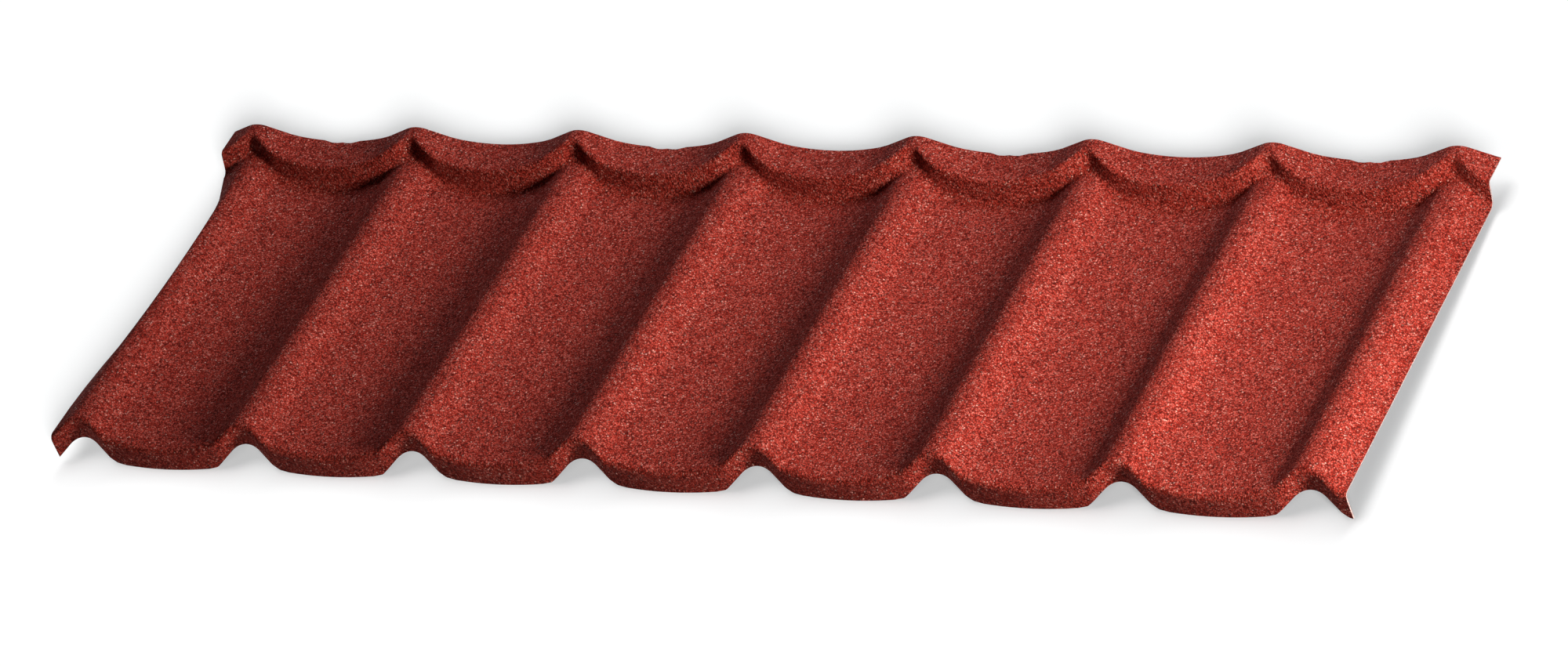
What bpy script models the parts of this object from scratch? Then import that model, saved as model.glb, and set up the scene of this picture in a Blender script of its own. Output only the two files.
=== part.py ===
# Tile effect metal roofing sheet: one pressed steel panel with a stone chip face.
# Metres, +Z up. X runs along the length, the nose faces -Y and the back edge +Y.

import math

import bmesh
import bpy

# Sheet
sheet_thickness = 0.0015      # steel, primer and stone chips together
sheet_depth = 0.415           # front of the nose to the back edge

# Row of waves
pitch = 0.1807                # crest to crest
pan_count = 7
left_lap = 0.030              # first crest's centre to the left cut edge
right_lap = 0.038             # last crest's centre to the right cut edge
left_draw_in = 0.010          # how far pressing pulls the left edge in, at its most
right_draw_in = 0.003

# Field wave, seen from the front
wave_rise = 0.0225            # middle of a pan to the top of a crest
crest_radius = 0.029
flank_angle = math.radians(32)
foot_radius = 0.028
dish_angle = math.radians(15)  # slope of the pan where the foot's arc ends

# Flange wave, flatter than the field's
flange_rise = 0.0195
flange_crest_radius = 0.028
flange_flank_angle = math.radians(22)
flange_foot_radius = 0.070
flange_dish_angle = math.radians(12)

# Folds
nose_height = 0.0225          # turned-down front, bottom edge to pan
riser_height = 0.022          # step from pan to flange, in the middle of a pan
riser_lean = 0.0075           # how far the step leans back over its height
flange_depth = 0.039          # step's shoulder to the back edge, in a pan
nose_bend = 0.006             # reach of the rounding on each side of a fold
riser_foot_bend = 0.006
riser_shoulder_bend = 0.007

# Plan of the folds: a shallow bow across a pan, drawn back under a crest
nose_setback = 0.015
nose_plan_crest_radius = 0.030
nose_plan_flank_angle = math.radians(34)
nose_plan_foot_radius = 0.026
riser_foot_setback = 0.015
riser_shoulder_setback = 0.019
riser_plan_crest_radius = 0.012
riser_plan_flank_angle = math.radians(27)
riser_plan_foot_radius = 0.030
plan_dish_angle = math.radians(8)

# Notches in the back edge, in every second pan
notch_width = 0.036
notch_cut = 0.0035
notch_slope = 0.0045          # length of each sloping end
notch_tooth = 0.0014          # height of the tooth left in the middle
notch_tooth_width = 0.008
notch_step = 2                # pans from one notch to the next

# Facets
crest_segments = 3
foot_segments = 3
dish_segments = 2
fold_segments = 4
edge_segments = 6             # along a side edge, nose to step


class Wave:
    """Half a wave's section, from a crest's centre to the middle of the pan.

    A crest arc, a straight flank, a foot arc and the pan's shallow dish follow one
    another, each tangent to the next. Heights count from the middle of the pan.
    """

    def __init__(self, rise, crest, flank, foot, dish):
        self.rise, self.crest, self.flank, self.foot, self.dish = rise, crest, flank, foot, dish
        run = pitch / 2 - crest * math.sin(flank) - foot * (math.sin(flank) - math.sin(dish))
        fall = rise - crest * (1 - math.cos(flank)) - foot * (math.cos(dish) - math.cos(flank))
        # The straight and the dish share out what is left of the run and of the fall
        slope, bow = math.tan(flank), math.tan(dish / 2)
        straight = (fall - run * bow) / (slope - bow)
        self.dish_radius = (run - straight) / math.sin(dish)
        self.crest_end = crest * math.sin(flank)
        self.foot_start = self.crest_end + straight
        self.foot_end = pitch / 2 - self.dish_radius * math.sin(dish)

    def height(self, x):
        if x < self.crest_end:
            return self.rise - self.crest + math.sqrt(self.crest ** 2 - x ** 2)
        if x < self.foot_start:
            return self.height(0) - self.crest * (1 - math.cos(self.flank)) \
                - (x - self.crest_end) * math.tan(self.flank)
        if x < self.foot_end:
            turn = math.asin(math.sin(self.dish) + (self.foot_end - x) / self.foot)
            return self.edge() + self.foot * (math.cos(self.dish) - math.cos(turn))
        return self.dish_radius - math.sqrt(self.dish_radius ** 2 - (pitch / 2 - x) ** 2)

    def edge(self):
        """Height where the foot's arc meets the dish."""
        return self.dish_radius * (1 - math.cos(self.dish))

    def stations(self):
        """Places along the half wave where a facet starts or ends."""
        crest = [self.crest * math.sin(self.flank * i / crest_segments)
                 for i in range(crest_segments + 1)]
        turns = [self.flank + (self.dish - self.flank) * i / foot_segments
                 for i in range(foot_segments + 1)]
        foot = [self.foot_end + self.foot * (math.sin(turn) - math.sin(self.dish)) for turn in turns]
        foot = [2 * self.foot_end - x for x in foot]
        dish = [self.foot_end + (pitch / 2 - self.foot_end) * i / dish_segments
                for i in range(1, dish_segments + 1)]
        return crest + foot + dish


field = Wave(wave_rise, crest_radius, flank_angle, foot_radius, dish_angle)
flange = Wave(flange_rise, flange_crest_radius, flange_flank_angle,
              flange_foot_radius, flange_dish_angle)
nose_plan = Wave(nose_setback, nose_plan_crest_radius, nose_plan_flank_angle,
                 nose_plan_foot_radius, plan_dish_angle)
riser_plan = Wave(riser_shoulder_setback, riser_plan_crest_radius, riser_plan_flank_angle,
                  riser_plan_foot_radius, plan_dish_angle)
riser_foot_place = sheet_depth - flange_depth - riser_lean


def fold_points(x):
    """The sheet's upper face cut across at x: nose, field, step and flange as straight runs."""
    nose = nose_plan.height(x)
    shoulder = riser_foot_place + riser_lean + riser_plan.height(x)
    foot = riser_foot_place + riser_plan.height(x) * riser_foot_setback / riser_shoulder_setback
    field_height = nose_height + field.height(x)
    flange_height = nose_height + riser_height + flange.height(x)
    return [(nose, field.height(x)),
            (nose, field_height),
            (foot, field_height),
            (shoulder, flange_height),
            (sheet_depth, flange_height)]


def clear_scene():
    for item in list(bpy.data.objects):
        bpy.data.objects.remove(item, do_unlink=True)


def new_collection(name):
    collection = bpy.data.collections.new(name)
    bpy.context.scene.collection.children.link(collection)
    return collection


def stone_chip_material():
    material = bpy.data.materials.new("stone_chip_red")
    material.use_nodes = True
    shader = material.node_tree.nodes["Principled BSDF"]
    shader.inputs["Base Color"].default_value = (0.30, 0.034, 0.027, 1.0)
    shader.inputs["Roughness"].default_value = 0.85
    shader.inputs["Metallic"].default_value = 0.0
    material.diffuse_color = (0.30, 0.034, 0.027, 1.0)
    return material


def half_wave_mesh():
    """Open surface of half a wave, a grid laid over the sections, with its folds marked."""
    columns = field.stations()
    rows = len(fold_points(0))
    bm = bmesh.new()
    bmesh.ops.create_grid(bm, x_segments=len(columns) - 1, y_segments=rows - 1, size=0.5)
    weight = bm.edges.layers.float.new("bevel_weight_edge")
    reach = [0, nose_bend, riser_foot_bend, riser_shoulder_bend, 0]
    row_of = {}
    for vert in bm.verts:
        column = round((vert.co.x + 0.5) * (len(columns) - 1))
        row = round((vert.co.y + 0.5) * (rows - 1))
        row_of[vert] = row
        y, z = fold_points(columns[column])[row]
        vert.co = (columns[column], y, z)
    for edge in bm.edges:
        first, second = (row_of[vert] for vert in edge.verts)
        if first == second:
            edge[weight] = reach[first] / max(reach)
    bmesh.ops.recalc_face_normals(bm, faces=bm.faces)
    upward = sum(face.normal.z * face.calc_area() for face in bm.faces)
    if upward < 0:
        bmesh.ops.reverse_faces(bm, faces=bm.faces)
    mesh = bpy.data.meshes.new("tile_sheet")
    bm.to_mesh(mesh)
    bm.free()
    return mesh


def apply_modifiers(item):
    """Replaces an object's data with the mesh that its modifiers give."""
    graph = bpy.context.evaluated_depsgraph_get()
    mesh = bpy.data.meshes.new_from_object(item.evaluated_get(graph))
    item.modifiers.clear()
    item.data = mesh


def wavy_surface(collection):
    """The whole upper face, mirrored and repeated from half a wave, folds rounded."""
    item = bpy.data.objects.new("tile_sheet", half_wave_mesh())
    collection.objects.link(item)
    mirror = item.modifiers.new("whole wave", "MIRROR")
    mirror.use_axis = (True, False, False)
    mirror.merge_threshold = 0.00005
    array = item.modifiers.new("row of waves", "ARRAY")
    array.count = pan_count + 1
    array.use_relative_offset = False
    array.use_constant_offset = True
    array.constant_offset_displace = (pitch, 0, 0)
    array.use_merge_vertices = True
    array.merge_threshold = 0.00005
    bevel = item.modifiers.new("rounded folds", "BEVEL")
    bevel.limit_method = "WEIGHT"
    bevel.width = max(nose_bend, riser_foot_bend, riser_shoulder_bend)
    bevel.segments = fold_segments
    bevel.use_clamp_overlap = False
    apply_modifiers(item)
    return item


def trim_ends(item):
    """Shears the row of waves off at both side laps."""
    bm = bmesh.new()
    bm.from_mesh(item.data)
    for side, place in ((-1, -left_lap), (1, pan_count * pitch + right_lap)):
        bmesh.ops.bisect_plane(bm, geom=bm.verts[:] + bm.edges[:] + bm.faces[:], dist=1e-6,
                               plane_co=(place, 0, 0), plane_no=(side, 0, 0), clear_outer=True)
    bm.to_mesh(item.data)
    bm.free()


def draw_in_edges(item):
    """Bends both side edges inwards between the nose and the step, as pressing leaves them."""
    last_crest = pan_count * pitch
    start, end = nose_setback, riser_foot_place
    bm = bmesh.new()
    bm.from_mesh(item.data)
    for side, crest, lap, draw_in in ((-1, 0.0, left_lap, left_draw_in),
                                      (1, last_crest, right_lap, right_draw_in)):
        for i in range(1, edge_segments):
            place = start + (end - start) * i / edge_segments
            faces = [face for face in bm.faces if side * (face.calc_center_median().x - crest) > 0]
            parts = [part for face in faces for part in (*face.verts, *face.edges)]
            bmesh.ops.bisect_plane(bm, geom=list(dict.fromkeys(faces + parts)), dist=1e-6,
                                   plane_co=(0, place, 0), plane_no=(0, 1, 0))
        for vert in bm.verts:
            reach = side * (vert.co.x - crest)
            along = min(max((vert.co.y - start) / (end - start), 0.0), 1.0)
            if reach > 0:
                pull = draw_in * math.sin(math.pi * along ** 1.5)
                vert.co.x -= side * pull * reach / lap
    bm.to_mesh(item.data)
    bm.free()


def thicken(item):
    solidify = item.modifiers.new("sheet thickness", "SOLIDIFY")
    solidify.thickness = sheet_thickness
    solidify.offset = -1
    solidify.use_even_offset = True
    apply_modifiers(item)


def notch_outline():
    """Plan of one notch about the middle of its pan, open towards the back."""
    half, tooth = notch_width / 2, notch_tooth_width / 2
    floor = -notch_cut
    right = [(half, notch_cut), (half, 0), (half - notch_slope, floor), (tooth, floor)]
    left = [(-x, y) for x, y in reversed(right)]
    return right + [(0, floor + notch_tooth)] + left


def cut_notches(item, collection):
    """Takes the shallow notches out of the back edge."""
    outline = notch_outline()
    curve = bpy.data.curves.new("notch_cutter", "CURVE")
    curve.dimensions = "2D"
    curve.fill_mode = "BOTH"
    curve.extrude = 0.5 * (flange_rise + 8 * sheet_thickness)
    spline = curve.splines.new("POLY")
    spline.points.add(len(outline) - 1)
    for point, (x, y) in zip(spline.points, outline):
        point.co = (x, y, 0, 1)
    spline.use_cyclic_u = True
    cutter = bpy.data.objects.new("notch_cutter", curve)
    collection.objects.link(cutter)
    cutter.location = (pitch / 2, sheet_depth, nose_height + riser_height)
    cutter.hide_render = True
    cutter.display_type = "WIRE"
    array = cutter.modifiers.new("every second pan", "ARRAY")
    array.count = (pan_count - 1) // notch_step + 1
    array.use_relative_offset = False
    array.use_constant_offset = True
    array.constant_offset_displace = (notch_step * pitch, 0, 0)
    graph = bpy.context.evaluated_depsgraph_get()
    mesh = bpy.data.meshes.new_from_object(cutter.evaluated_get(graph))
    solid = bpy.data.objects.new("notch_cutters", mesh)
    solid.matrix_world = cutter.matrix_world.copy()
    solid.location = cutter.location
    collection.objects.link(solid)
    bpy.data.objects.remove(cutter, do_unlink=True)
    bpy.context.view_layer.update()
    boolean = item.modifiers.new("notches", "BOOLEAN")
    boolean.operation = "DIFFERENCE"
    boolean.solver = "EXACT"
    boolean.object = solid
    apply_modifiers(item)
    bpy.data.objects.remove(solid, do_unlink=True)


def lay_down(item):
    """Lays the sheet on the floor as it rests: on its nose and on the foot of its step."""
    middle = (pan_count * pitch + right_lap - left_lap) / 2
    points = [(vert.co.y, vert.co.z) for vert in item.data.vertices]
    front = [point for point in points if point[0] < sheet_depth / 4]
    rear = [point for point in points if point[0] > sheet_depth / 2]
    tilt = 0.0
    for _ in range(6):
        def level(point):
            return point[1] * math.cos(tilt) + point[0] * math.sin(tilt)
        low_front = min(front, key=level)
        low_rear = min(rear, key=level)
        tilt = -math.atan2(low_rear[1] - low_front[1], low_rear[0] - low_front[0])
    item.rotation_euler = (tilt, 0, 0)
    turned = [(y * math.cos(tilt) - z * math.sin(tilt), y * math.sin(tilt) + z * math.cos(tilt))
              for y, z in points]
    depths = [point[0] for point in turned]
    floor = min(point[1] for point in turned)
    item.location = (-middle, -(min(depths) + max(depths)) / 2, -floor)


def shade_smooth(item):
    for face in item.data.polygons:
        face.use_smooth = True
    item.data.set_sharp_from_angle(angle=math.radians(40))


def build():
    clear_scene()
    collection = new_collection("tile_effect_roofing_sheet")
    sheet = wavy_surface(collection)
    trim_ends(sheet)
    draw_in_edges(sheet)
    thicken(sheet)
    cut_notches(sheet, collection)
    sheet.data.materials.clear()
    sheet.data.materials.append(stone_chip_material())
    shade_smooth(sheet)
    lay_down(sheet)


build()
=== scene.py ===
import math

import bmesh
import bpy
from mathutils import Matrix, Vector


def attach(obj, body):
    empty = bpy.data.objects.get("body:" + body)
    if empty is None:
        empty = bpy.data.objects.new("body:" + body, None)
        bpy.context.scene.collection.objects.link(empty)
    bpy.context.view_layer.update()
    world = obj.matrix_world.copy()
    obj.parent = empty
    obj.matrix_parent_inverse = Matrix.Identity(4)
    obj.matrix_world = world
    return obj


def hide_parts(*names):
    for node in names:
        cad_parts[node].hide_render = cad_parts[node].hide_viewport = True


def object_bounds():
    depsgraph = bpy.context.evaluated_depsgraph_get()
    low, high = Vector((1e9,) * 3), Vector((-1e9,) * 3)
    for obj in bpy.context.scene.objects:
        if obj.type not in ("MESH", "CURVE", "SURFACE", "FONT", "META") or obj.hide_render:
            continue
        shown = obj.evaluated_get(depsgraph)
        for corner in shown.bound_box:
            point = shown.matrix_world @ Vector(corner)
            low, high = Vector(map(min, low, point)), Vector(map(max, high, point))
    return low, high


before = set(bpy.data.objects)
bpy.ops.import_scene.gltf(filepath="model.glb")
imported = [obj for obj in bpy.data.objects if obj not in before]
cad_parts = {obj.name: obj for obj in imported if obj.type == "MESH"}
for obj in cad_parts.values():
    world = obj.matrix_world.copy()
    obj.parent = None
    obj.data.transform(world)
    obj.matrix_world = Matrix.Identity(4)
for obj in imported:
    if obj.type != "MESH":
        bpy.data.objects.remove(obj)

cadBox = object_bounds()
print("frame loaded,", len(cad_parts), "node")

samePlace = 1e-5                         # points nearer than this count as one place


# picking and moving parts of a mesh in edit mode
def clearSelection():
    # nothing else may be selected, or the operators would act on it too
    if bpy.context.object and bpy.context.object.mode != "OBJECT":
        bpy.ops.object.mode_set(mode="OBJECT")
    bpy.ops.object.select_all(action="DESELECT")


def only(obj):
    clearSelection()
    obj.select_set(True)
    bpy.context.view_layer.objects.active = obj


def editMode(obj, kind="VERT"):
    only(obj)
    bpy.ops.object.mode_set(mode="EDIT")
    bpy.ops.mesh.select_mode(type=kind)
    bpy.ops.mesh.select_all(action="DESELECT")


def pickVerts(obj, test):
    mesh = bmesh.from_edit_mesh(obj.data)
    for vert in mesh.verts:
        vert.select_set(test(vert.co))
    mesh.select_flush_mode()
    bmesh.update_edit_mesh(obj.data, loop_triangles=False, destructive=False)


def pickEdges(obj, test):
    mesh = bmesh.from_edit_mesh(obj.data)
    for edge in mesh.edges:
        if test(edge.verts[0].co, edge.verts[1].co):
            edge.select_set(True)
    bmesh.update_edit_mesh(obj.data, loop_triangles=False, destructive=False)


def applyModifier(obj, name):
    only(obj)
    bpy.ops.object.modifier_apply(modifier=name)


# the pressed sheet, in metres and degrees; a wave has its rise, the radii of its crest and foot, the angle
# of its flank, and the angle at which its shallow dish starts
sheet = {
    "thickness": 0.0015,
    "depth": 0.415,
    "pitch": 0.1807,                     # crest to crest
    "pans": 7,
    "leftLap": 0.030,                    # from the outer crest to the side edge
    "rightLap": 0.038,
    "leftDrawIn": 0.010,                 # how far pressing pulls a side edge in, at its most
    "rightDrawIn": 0.0,
    "drawInBias": 1.5,                   # above 1, the pull is greatest nearer the step
    "field": {"rise": 0.0225, "crest": 0.029, "flank": 32.0, "foot": 0.028, "dish": 15.0},
    "flange": {"rise": 0.0195, "crest": 0.028, "flank": 22.0, "foot": 0.070, "dish": 12.0},
    # in plan, how far the nose and the step draw back across half a wave
    "nosePlan": {"rise": 0.015, "crest": 0.030, "flank": 34.0, "foot": 0.026, "dish": 8.0},
    "riserPlan": {"rise": 0.025, "crest": 0.009, "flank": 36.0, "foot": 0.060, "dish": 14.0},
    "riserFootSetback": 0.022,           # the step's foot draws back less than its shoulder
    # the nose's bottom edge, nearly straight across each pan and arched under each crest
    "noseCut": {"rise": 0.0225, "crest": 0.027, "flank": 39.0, "foot": 0.014, "dish": 2.5},
    "noseHeight": 0.0225,
    "riserHeight": 0.0217,
    "riserLean": 0.0055,
    "flangeDepth": 0.039,
    "bends": (0.006, 0.005, 0.0035),     # nose fold, riser foot, riser shoulder
    "bendSteps": 7,
    # in the back edge: half its width, its slope, its depth, and the tooth left in its middle
    "notch": {"half": 0.020, "slope": 0.009, "cut": 0.0026, "tooth": 0.0009, "toothHalf": 0.005},
    "notchRows": 0.020,                  # how far in from the back edge the notch's columns run
    "notchEvery": 2,                     # pans from one notch to the next
    "tilt": -3.3050,                     # how it rests, nose and step foot on the floor
    "crestSteps": 6,
    "footSteps": 7,
    "dishSteps": 6,
    "rowsInField": 12,
    "mergeReach": 0.00005,
    "smoothAngle": 40.0,                 # folds sharper than this stay crisp
}


def waveParts(w):
    # crest arc, straight flank, foot arc and shallow dish, each tangent to the next
    flank, dish = math.radians(w["flank"]), math.radians(w["dish"])
    half = sheet["pitch"] / 2
    run = half - w["crest"] * math.sin(flank) - w["foot"] * (math.sin(flank) - math.sin(dish))
    fall = w["rise"] - w["crest"] * (1 - math.cos(flank)) - w["foot"] * (math.cos(dish) - math.cos(flank))
    slope, bow = math.tan(flank), math.tan(dish / 2)
    straight = (fall - run * bow) / (slope - bow)
    radius = (run - straight) / math.sin(dish)
    crestEnd = w["crest"] * math.sin(flank)
    return flank, dish, half, radius, crestEnd, crestEnd + straight, half - radius * math.sin(dish)


def waveHeight(w, x):
    flank, dish, half, radius, crestEnd, footStart, footEnd = waveParts(w)
    if x < crestEnd:
        return w["rise"] - w["crest"] + math.sqrt(w["crest"] ** 2 - x ** 2)
    if x < footStart:
        return w["rise"] - w["crest"] * (1 - math.cos(flank)) - (x - crestEnd) * math.tan(flank)
    if x < footEnd:
        turn = math.asin(math.sin(dish) + (footEnd - x) / w["foot"])
        return radius * (1 - math.cos(dish)) + w["foot"] * (math.cos(dish) - math.cos(turn))
    return radius - math.sqrt(max(radius ** 2 - (half - x) ** 2, 0.0))


def waveStations(w):
    flank, dish, half, radius, crestEnd, footStart, footEnd = waveParts(w)
    places = []
    for i in range(sheet["crestSteps"] + 1):
        places.append(w["crest"] * math.sin(flank * i / sheet["crestSteps"]))
    for i in range(sheet["footSteps"] + 1):
        turn = flank + (dish - flank) * i / sheet["footSteps"]
        places.append(footEnd - w["foot"] * (math.sin(turn) - math.sin(dish)))
    for i in range(1, sheet["dishSteps"] + 1):
        places.append(footEnd + (half - footEnd) * i / sheet["dishSteps"])
    return places


def foldLine(x):
    # nose bottom, nose fold, riser foot, riser shoulder and back edge at one place across
    riserFoot = sheet["depth"] - sheet["flangeDepth"] - sheet["riserLean"]
    nose = waveHeight(sheet["nosePlan"], x)
    back = waveHeight(sheet["riserPlan"], x)
    low = sheet["noseHeight"] + waveHeight(sheet["field"], x)
    high = sheet["noseHeight"] + sheet["riserHeight"] + waveHeight(sheet["flange"], x)
    share = sheet["riserFootSetback"] / sheet["riserPlan"]["rise"]
    return [(nose, waveHeight(sheet["noseCut"], x)), (nose, low), (riserFoot + share * back, low),
            (riserFoot + sheet["riserLean"] + back, high), (sheet["depth"], high)]


def halfWave():
    # a flat grid is pulled into half a wave, point by point; a point that has its place waits high above
    # the grid, so that it isn't picked again
    wait = 10
    slack = 0.01                         # much less than the grid's squares
    places = waveStations(sheet["field"])
    columns, rows = len(places), len(foldLine(0))
    bpy.ops.mesh.primitive_grid_add(x_subdivisions=columns - 1, y_subdivisions=rows - 1, size=1,
                                    location=(0.5, 0.5, 0))
    obj = bpy.context.object
    obj.name = obj.data.name = "chipFacedSheet"
    only(obj)
    bpy.ops.object.transform_apply(location=True, rotation=True, scale=True)
    editMode(obj)
    for column in reversed(range(columns)):
        line = foldLine(places[column])
        for row in reversed(range(rows)):
            x, y = column / (columns - 1), row / (rows - 1)
            pickVerts(obj, lambda co: abs(co.x - x) < slack and abs(co.y - y) < slack and co.z == 0)
            bpy.ops.transform.translate(value=(places[column] - x, line[row][0] - y, line[row][1] + wait))
    bpy.ops.mesh.select_all(action="SELECT")
    bpy.ops.transform.translate(value=(0, 0, -wait))
    bpy.ops.object.mode_set(mode="OBJECT")
    return obj


def repeatWaves(obj):
    mirror = obj.modifiers.new("whole wave", "MIRROR")
    mirror.merge_threshold = sheet["mergeReach"]
    applyModifier(obj, "whole wave")
    array = obj.modifiers.new("row of waves", "ARRAY")
    array.count = sheet["pans"] + 1
    array.use_relative_offset = False
    array.use_constant_offset = True
    array.constant_offset_displace = (sheet["pitch"], 0, 0)
    array.use_merge_vertices = True
    array.merge_threshold = sheet["mergeReach"]
    applyModifier(obj, "row of waves")


def roundFolds(obj):
    # each fold runs along the row, so it is found by its place in the section
    half, pitch = sheet["pitch"] / 2, sheet["pitch"]

    def across(co):
        return abs((co.x + half) % pitch - half)

    for row, reach in zip((1, 2, 3), sheet["bends"]):
        def near(co):
            y, z = foldLine(across(co))[row]
            return math.hypot(co.y - y, co.z - z) < samePlace

        editMode(obj, "EDGE")
        pickEdges(obj, lambda a, b: near(a) and near(b))
        bpy.ops.mesh.bevel(offset=reach, offset_type="OFFSET", segments=sheet["bendSteps"], affect="EDGES",
                           clamp_overlap=False)
        bpy.ops.object.mode_set(mode="OBJECT")


def trimLaps(obj):
    end = sheet["pans"] * sheet["pitch"] + sheet["rightLap"]
    for place, side in ((-sheet["leftLap"], -1), (end, 1)):
        editMode(obj)
        bpy.ops.mesh.select_all(action="SELECT")
        bpy.ops.mesh.bisect(plane_co=(place, 0, 0), plane_no=(side, 0, 0), clear_outer=True)
        bpy.ops.object.mode_set(mode="OBJECT")


def drawInLaps(obj):
    # the press pulls the side edges in between the nose and the step
    start = sheet["nosePlan"]["rise"]
    end = sheet["depth"] - sheet["flangeDepth"] - sheet["riserLean"]
    last = sheet["pans"] * sheet["pitch"]
    editMode(obj)
    for i in range(1, sheet["rowsInField"]):
        place = start + (end - start) * i / sheet["rowsInField"]
        bpy.ops.mesh.select_all(action="SELECT")
        bpy.ops.mesh.bisect(plane_co=(0, place, 0), plane_no=(0, 1, 0))
        pull = math.sin(math.pi * (i / sheet["rowsInField"]) ** sheet["drawInBias"])
        for crest, side, lap, drawIn in ((0, -1, sheet["leftLap"], sheet["leftDrawIn"]),
                                         (last, 1, sheet["rightLap"], sheet["rightDrawIn"])):
            pickVerts(obj, lambda co: abs(co.y - place) < samePlace and side * (co.x - crest) > samePlace)
            bpy.ops.transform.resize(value=(1 - pull * drawIn / lap, 1, 1), center_override=(crest, 0, 0))
    bpy.ops.object.mode_set(mode="OBJECT")


def cutNotches(obj):
    # some pans have a shallow notch with a small tooth in its middle
    digits = 6                           # a micrometre, to which places are rounded
    notch = sheet["notch"]
    steps = [(notch["half"], 0.0), (notch["half"] - notch["slope"], notch["cut"]),
             (notch["toothHalf"], notch["cut"]), (0.0, notch["cut"] - notch["tooth"])]
    back = sheet["depth"]
    editMode(obj)
    for pan in range(0, sheet["pans"], sheet["notchEvery"]):
        middle = (pan + 0.5) * sheet["pitch"]
        for side in (-1, 1):
            for reach, _ in steps:
                pickVerts(obj, lambda co: co.y > back - sheet["notchRows"])
                bpy.ops.mesh.bisect(plane_co=(middle + side * reach, 0, 0), plane_no=(1, 0, 0))

        def depthAt(x):
            reach = abs(x - middle)
            for (a, deepA), (b, deepB) in zip(steps, steps[1:]):
                if b <= reach <= a:
                    return deepA + (deepB - deepA) * (a - reach) / (a - b)
            return 0.0

        places = {round(vert.co.x, digits) for vert in bmesh.from_edit_mesh(obj.data).verts
                  if vert.co.y > back - samePlace and abs(vert.co.x - middle) < notch["half"]}
        for place in sorted(places):
            pickVerts(obj, lambda co: co.y > back - samePlace and abs(co.x - place) < 2 * 10 ** -digits)
            bpy.ops.transform.translate(value=(0, -depthAt(place), 0))
    bpy.ops.object.mode_set(mode="OBJECT")


def thickenSheet(obj):
    solid = obj.modifiers.new("sheet thickness", "SOLIDIFY")
    solid.thickness = sheet["thickness"]
    solid.offset = -1
    solid.use_even_offset = True
    solid.material_offset = 1            # the coat underneath
    solid.material_offset_rim = 2        # the cut edge
    applyModifier(obj, "sheet thickness")


def layDown(obj):
    # turned to rest on its nose and on the foot of the step, then set against the CAD box
    editMode(obj)
    bpy.ops.mesh.select_all(action="SELECT")
    bpy.ops.transform.rotate(value=-math.radians(sheet["tilt"]), orient_axis="X", center_override=(0, 0, 0))
    bpy.ops.object.mode_set(mode="OBJECT")
    low = [min(v.co[i] for v in obj.data.vertices) for i in range(3)]
    editMode(obj)
    bpy.ops.mesh.select_all(action="SELECT")
    bpy.ops.transform.translate(value=[cadBox[0][i] - low[i] for i in range(3)])
    bpy.ops.object.mode_set(mode="OBJECT")


def makeSheet():
    clearSelection()
    obj = halfWave()
    repeatWaves(obj)
    roundFolds(obj)
    trimLaps(obj)
    drawInLaps(obj)
    cutNotches(obj)
    obj.data.materials.clear()
    for finish in ("stoneChips", "undersidePrimer", "cutEdge"):
        obj.data.materials.append(bpy.data.materials[finish])
    thickenSheet(obj)
    layDown(obj)
    only(obj)
    bpy.ops.object.shade_smooth_by_angle(angle=math.radians(sheet["smoothAngle"]))
    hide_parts("tile_sheet")
    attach(obj, "root")
    print("sheet:", len(obj.data.polygons), "faces")
    return obj


class Value:
    # one output of a node; sums written on it add Math nodes
    def __init__(self, finish, socket):
        self.finish, self.socket = finish, socket

    def sum(self, operation, first, second):
        return self.finish.add("ShaderNodeMath", {"operation": operation}, {0: first, 1: second})

    def __add__(self, other):
        return self.sum("ADD", self, other)

    def __sub__(self, other):
        return self.sum("SUBTRACT", self, other)

    def __rsub__(self, other):
        return self.sum("SUBTRACT", other, self)

    def __mul__(self, other):
        return self.sum("MULTIPLY", self, other)

    def __gt__(self, other):
        return self.sum("GREATER_THAN", self, other)

    __radd__, __rmul__ = __add__, __mul__


class Finish:
    # one material and the nodes added to it
    def __init__(self, name, colour):
        self.material = bpy.data.materials.new(name)
        self.material.use_nodes = True
        self.material.diffuse_color = (*colour, 1)
        self.nodes = self.material.node_tree.nodes
        self.shader = self.nodes["Principled BSDF"]
        self.shader.inputs["Base Color"].default_value = (*colour, 1)

    def join(self, source, socket):
        if isinstance(source, Value):
            self.material.node_tree.links.new(source.socket, socket)
        else:
            socket.default_value = source

    def add(self, kind, settings, inputs, output=0):
        node = self.nodes.new(kind)
        for name, value in settings.items():
            if name == "stops":
                ramp = node.color_ramp
                while len(ramp.elements) < len(value):
                    ramp.elements.new(1)
                for element, (place, colour) in zip(ramp.elements, value):
                    element.position, element.color = place, (*colour, 1)
            else:
                setattr(node, name, value)
        for name, source in inputs.items():
            self.join(source, node.inputs[name])
        if isinstance(output, tuple):
            return [Value(self, node.outputs[name]) for name in output]
        return Value(self, node.outputs[output])

    def set(self, name, source):
        self.join(source, self.shader.inputs[name])

    def mix(self, factor, first, second, blend="MIX"):
        return self.add("ShaderNodeMix", {"data_type": "RGBA", "blend_type": blend},
                        {0: factor, 6: first, 7: second}, 2)

    def noise(self, place, scale, detail):
        return self.add("ShaderNodeTexNoise", {}, {"Vector": place, "Scale": scale, "Detail": detail})

    def bump(self, height, reach, strength=1.0):
        return self.add("ShaderNodeBump", {}, {"Strength": strength, "Distance": reach, "Height": height})


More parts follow.
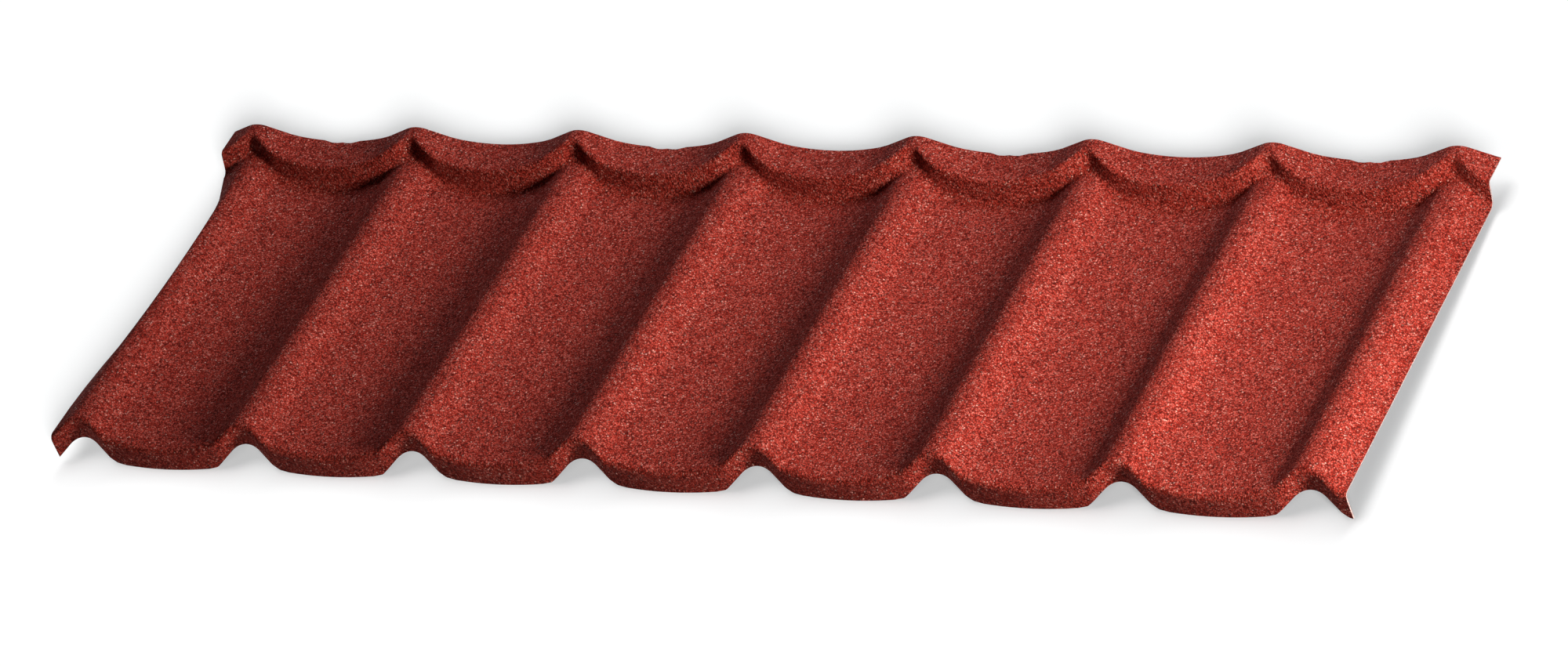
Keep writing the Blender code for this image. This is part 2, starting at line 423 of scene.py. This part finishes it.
chips = {
    "plain": (0.36, 0.042, 0.032),
    "size": 0.00145,                     # of most chips
    "coarseSize": 0.0027,                # of the larger ones among them
    # the chips' colours from dark to pale, by the share of chips up to each
    "stops": [(0.00, (0.140, 0.008, 0.004)), (0.06, (0.200, 0.012, 0.006)), (0.18, (0.290, 0.021, 0.011)),
              (0.50, (0.390, 0.039, 0.024)), (0.80, (0.480, 0.073, 0.048)), (0.96, (0.560, 0.128, 0.093)),
              (0.988, (0.690, 0.275, 0.205))],
    "glints": 0.992,                     # the few chips past this share are glassy
    "glintGloss": 0.42,                  # how much less rough they are
    "glintMetallic": 0.7,
    "roughness": 0.82,
    "specular": 0.07,
    "gapStart": 0.30,                    # from a chip's middle to where painted shade starts in its gap, in chip sizes
    "gapEnd": 0.70,
    "gapPaintedShade": 0.36,                    # how much of the colour is left in the gap, where the shade between chips is painted in
    "cloudScale": 55.0,
    "cloudDetail": 3.0,
    "cloudRange": (0.3, 0.7),            # most of the noise lies in this range
    "cloudShade": (0.92, 1.08),          # slow change of tone from place to place
    "relief": 0.0009,
    "lowest": 0.45,                      # height of the lowest chips, as a share of the highest
    "coarseHeight": 0.8,                 # what a larger chip adds, on the same scale
}


def makeStoneChips():
    f = Finish("stoneChips", chips["plain"])
    place = f.add("ShaderNodeTexCoord", {}, {}, "Object")
    distance, tint = f.add("ShaderNodeTexVoronoi", {"voronoi_dimensions": "3D", "feature": "F1"},
                           {"Vector": place, "Scale": 1 / chips["size"]}, ("Distance", "Color"))
    coarse, coarseTint = f.add("ShaderNodeTexVoronoi", {"voronoi_dimensions": "3D", "feature": "F1"},
                               {"Vector": place, "Scale": 1 / chips["coarseSize"]}, ("Distance", "Color"))
    kind, height = f.add("ShaderNodeSeparateColor", {}, {0: tint}, (0, 2))
    colour = f.add("ShaderNodeValToRGB", {"stops": chips["stops"]}, {0: kind})
    # painted shade: the colour is multiplied down toward the gaps between chips, where shade falls
    paintedGapShadow = f.add("ShaderNodeMapRange", {},
                {"Value": distance, "From Min": chips["gapStart"], "From Max": chips["gapEnd"],
                 "To Min": 1.0, "To Max": chips["gapPaintedShade"]})
    colour = f.mix(1.0, colour, paintedGapShadow, "MULTIPLY")
    cloud = f.noise(place, chips["cloudScale"], chips["cloudDetail"])
    shade = f.add("ShaderNodeMapRange", {},
                  {"Value": cloud, "From Min": chips["cloudRange"][0], "From Max": chips["cloudRange"][1],
                   "To Min": chips["cloudShade"][0], "To Max": chips["cloudShade"][1]})
    f.set("Base Color", f.mix(1.0, colour, shade, "MULTIPLY"))
    glassy = kind > chips["glints"]
    f.set("Roughness", chips["roughness"] - glassy * chips["glintGloss"])
    f.set("Metallic", glassy * chips["glintMetallic"])
    f.shader.inputs["Specular IOR Level"].default_value = chips["specular"]
    dome = 1 - distance * distance
    big = f.add("ShaderNodeSeparateColor", {}, {0: coarseTint}, 0) * (1 - coarse)
    relief = dome * (chips["lowest"] + height * (1 - chips["lowest"])) + big * chips["coarseHeight"]
    f.set("Normal", f.bump(relief, chips["relief"]))


underside = {
    "plain": (0.20, 0.19, 0.18),
    "stops": [(0.3, (0.185, 0.176, 0.168)), (0.7, (0.225, 0.214, 0.204))],
    "cloudScale": 35.0,
    "cloudDetail": 4.0,
    "roughness": 0.45,                   # the least
    "uneven": 0.15,                      # how much the cloud adds at most
    "peelScale": 600.0,
    "peelDetail": 2.0,
    "peel": 0.0001,
    "peelStrength": 0.4,
}


def makeUnderside():
    f = Finish("undersidePrimer", underside["plain"])
    place = f.add("ShaderNodeTexCoord", {}, {}, "Object")
    cloud = f.noise(place, underside["cloudScale"], underside["cloudDetail"])
    f.set("Base Color", f.add("ShaderNodeValToRGB", {"stops": underside["stops"]}, {0: cloud}))
    f.set("Roughness", underside["roughness"] + cloud * underside["uneven"])
    peel = f.noise(place, underside["peelScale"], underside["peelDetail"])
    f.set("Normal", f.bump(peel, underside["peel"], underside["peelStrength"]))


rim = {
    "plain": (0.40, 0.34, 0.30),
    "stops": [(0.35, (0.27, 0.10, 0.08)), (0.6, (0.46, 0.40, 0.36))],   # chip colour, then bare steel
    "grainScale": 900.0,
    "grainDetail": 2.0,
    "roughness": 0.5,
    "uneven": 0.2,                       # how much the grain adds at most
    "burr": 0.0001,
    "burrStrength": 0.5,
}


def makeCutEdge():
    f = Finish("cutEdge", rim["plain"])
    place = f.add("ShaderNodeTexCoord", {}, {}, "Object")
    grain = f.noise(place, rim["grainScale"], rim["grainDetail"])
    f.set("Base Color", f.add("ShaderNodeValToRGB", {"stops": rim["stops"]}, {0: grain}))
    f.set("Roughness", rim["roughness"] + grain * rim["uneven"])
    f.set("Normal", f.bump(grain, rim["burr"], rim["burrStrength"]))


# the camera, fitted to the sheet's outline, with its turn in degrees
view = {
    "place": (3.5127, -4.1846, 4.3050),
    "turn": (48.7644, 19.7367, 23.3736),
    "lens": 177.0618,
    "sensor": 36.0,
    "clip": (0.05, 60.0),
}

studio = {
    "floorSize": 40,
    "floorDrop": 0.0004,                 # below the sheet, so that the two never share a plane
    "floorSeen": (0.90, 0.90, 0.90),     # what the camera and reflections see
    "floorBounce": (0.52, 0.54, 0.58),   # what lights the sheet from below
    "floorGlow": (0.04, 0.04, 0.04),
    "skyColour": (0.80, 0.93, 1.0),
    "skyStrength": 0.04,
    # the main lamp, to the right
    "keyPlace": (1.90, -0.30, 0.76),
    "keyAim": (-0.20, 0.0, 0.0),
    "keySize": 0.40,
    "keySpread": 63.0,                   # a narrow beam past the middle, to spare the right end
    "keyPower": 9.8,
    "keyColour": (1.0, 0.94, 0.925),
    # a cooler one behind
    "fillPlace": (0.0, 1.80, 1.80),
    "fillAim": (0.0, 0.0, 0.0),
    "fillSize": 1.20,
    "fillPower": 38.0,
    "fillColour": (0.70, 0.82, 1.0),
    # soft suns on the floor alone, for a shadow on every side: degrees round, up and across, and strength
    "floorLights": [(-95, 27, 20, 0.38), (-50, 24, 24, 3.65), (90, 45, 30, 0.72), (135, 66, 36, 0.84),
                    (180, 72, 30, 0.50)],
    "floorLightsAway": 5,
}


def addCamera():
    data = bpy.data.cameras.new("camera")
    data.lens = view["lens"]
    data.sensor_width = view["sensor"]
    data.clip_start, data.clip_end = view["clip"]
    camera = bpy.data.objects.new("camera", data)
    bpy.context.scene.collection.objects.link(camera)
    camera.location = view["place"]
    camera.rotation_euler = [math.radians(angle) for angle in view["turn"]]
    bpy.context.scene.camera = camera


def addFloor():
    f = Finish("floorWhite", studio["floorSeen"])
    rays = f.add("ShaderNodeLightPath", {}, {}, ("Is Camera Ray", "Is Glossy Ray", "Is Transmission Ray"))
    seen = f.add("ShaderNodeMath", {"operation": "ADD", "use_clamp": True},
                 {0: rays[0] + rays[1], 1: rays[2]})
    f.set("Base Color", f.mix(seen, (*studio["floorBounce"], 1), (*studio["floorSeen"], 1)))
    f.shader.inputs["Roughness"].default_value = 1.0
    f.shader.inputs["Specular IOR Level"].default_value = 0.0
    f.set("Emission Color", f.mix(seen, (0, 0, 0, 1), (*studio["floorGlow"], 1)))
    f.shader.inputs["Emission Strength"].default_value = 1.0
    clearSelection()
    bpy.ops.mesh.primitive_plane_add(size=studio["floorSize"], location=(0, 0, -studio["floorDrop"]))
    floor = bpy.context.object
    floor.name = "floor"
    floor.data.materials.append(f.material)
    return floor


def lampOn(name, kind, lit):
    # a lamp that falls on one object alone
    data = bpy.data.lights.new(name, kind)
    lamp = bpy.data.objects.new(name, data)
    bpy.context.scene.collection.objects.link(lamp)
    group = bpy.data.collections.new(name + "Falls")
    group.objects.link(lit)
    lamp.light_linking.receiver_collection = group
    lamp.rotation_mode = "QUATERNION"
    return lamp


def addSoftbox(name, lit, place, aim, size, power, colour):
    box = lampOn(name, "AREA", lit)
    box.data.size = size
    box.data.energy = power
    box.data.color = colour
    box.location = place
    box.rotation_quaternion = (box.location - Vector(aim)).to_track_quat("Z", "Y")
    return box


def addSky():
    world = bpy.data.worlds.new("sky")
    bpy.context.scene.world = world
    world.use_nodes = True
    sky = world.node_tree.nodes["Background"]
    sky.inputs["Color"].default_value = (*studio["skyColour"], 1)
    sky.inputs["Strength"].default_value = studio["skyStrength"]


def lightSheet(piece):
    key = addSoftbox("keySoftbox", piece, studio["keyPlace"], studio["keyAim"], studio["keySize"],
                     studio["keyPower"], studio["keyColour"])
    key.data.spread = math.radians(studio["keySpread"])
    addSoftbox("rearSoftbox", piece, studio["fillPlace"], studio["fillAim"], studio["fillSize"],
               studio["fillPower"], studio["fillColour"])


def lightFloor(floor):
    away = studio["floorLightsAway"]
    for i, (turn, up, across, strength) in enumerate(studio["floorLights"]):
        turn, up = math.radians(turn), math.radians(up)
        ground = lampOn("groundLight" + str(i + 1), "SUN", floor)
        ground.data.energy = strength
        ground.data.angle = math.radians(across)
        level = away * math.cos(up)
        ground.location = (level * math.cos(turn), level * math.sin(turn), away * math.sin(up))
        ground.rotation_quaternion = ground.location.to_track_quat("Z", "Y")


makeStoneChips()
makeUnderside()
makeCutEdge()
print("finishes made")
piece = makeSheet()
addCamera()
floor = addFloor()
addSky()
lightSheet(piece)
lightFloor(floor)
bpy.context.scene.view_settings.view_transform = "Standard"
print("camera, floor and light set")
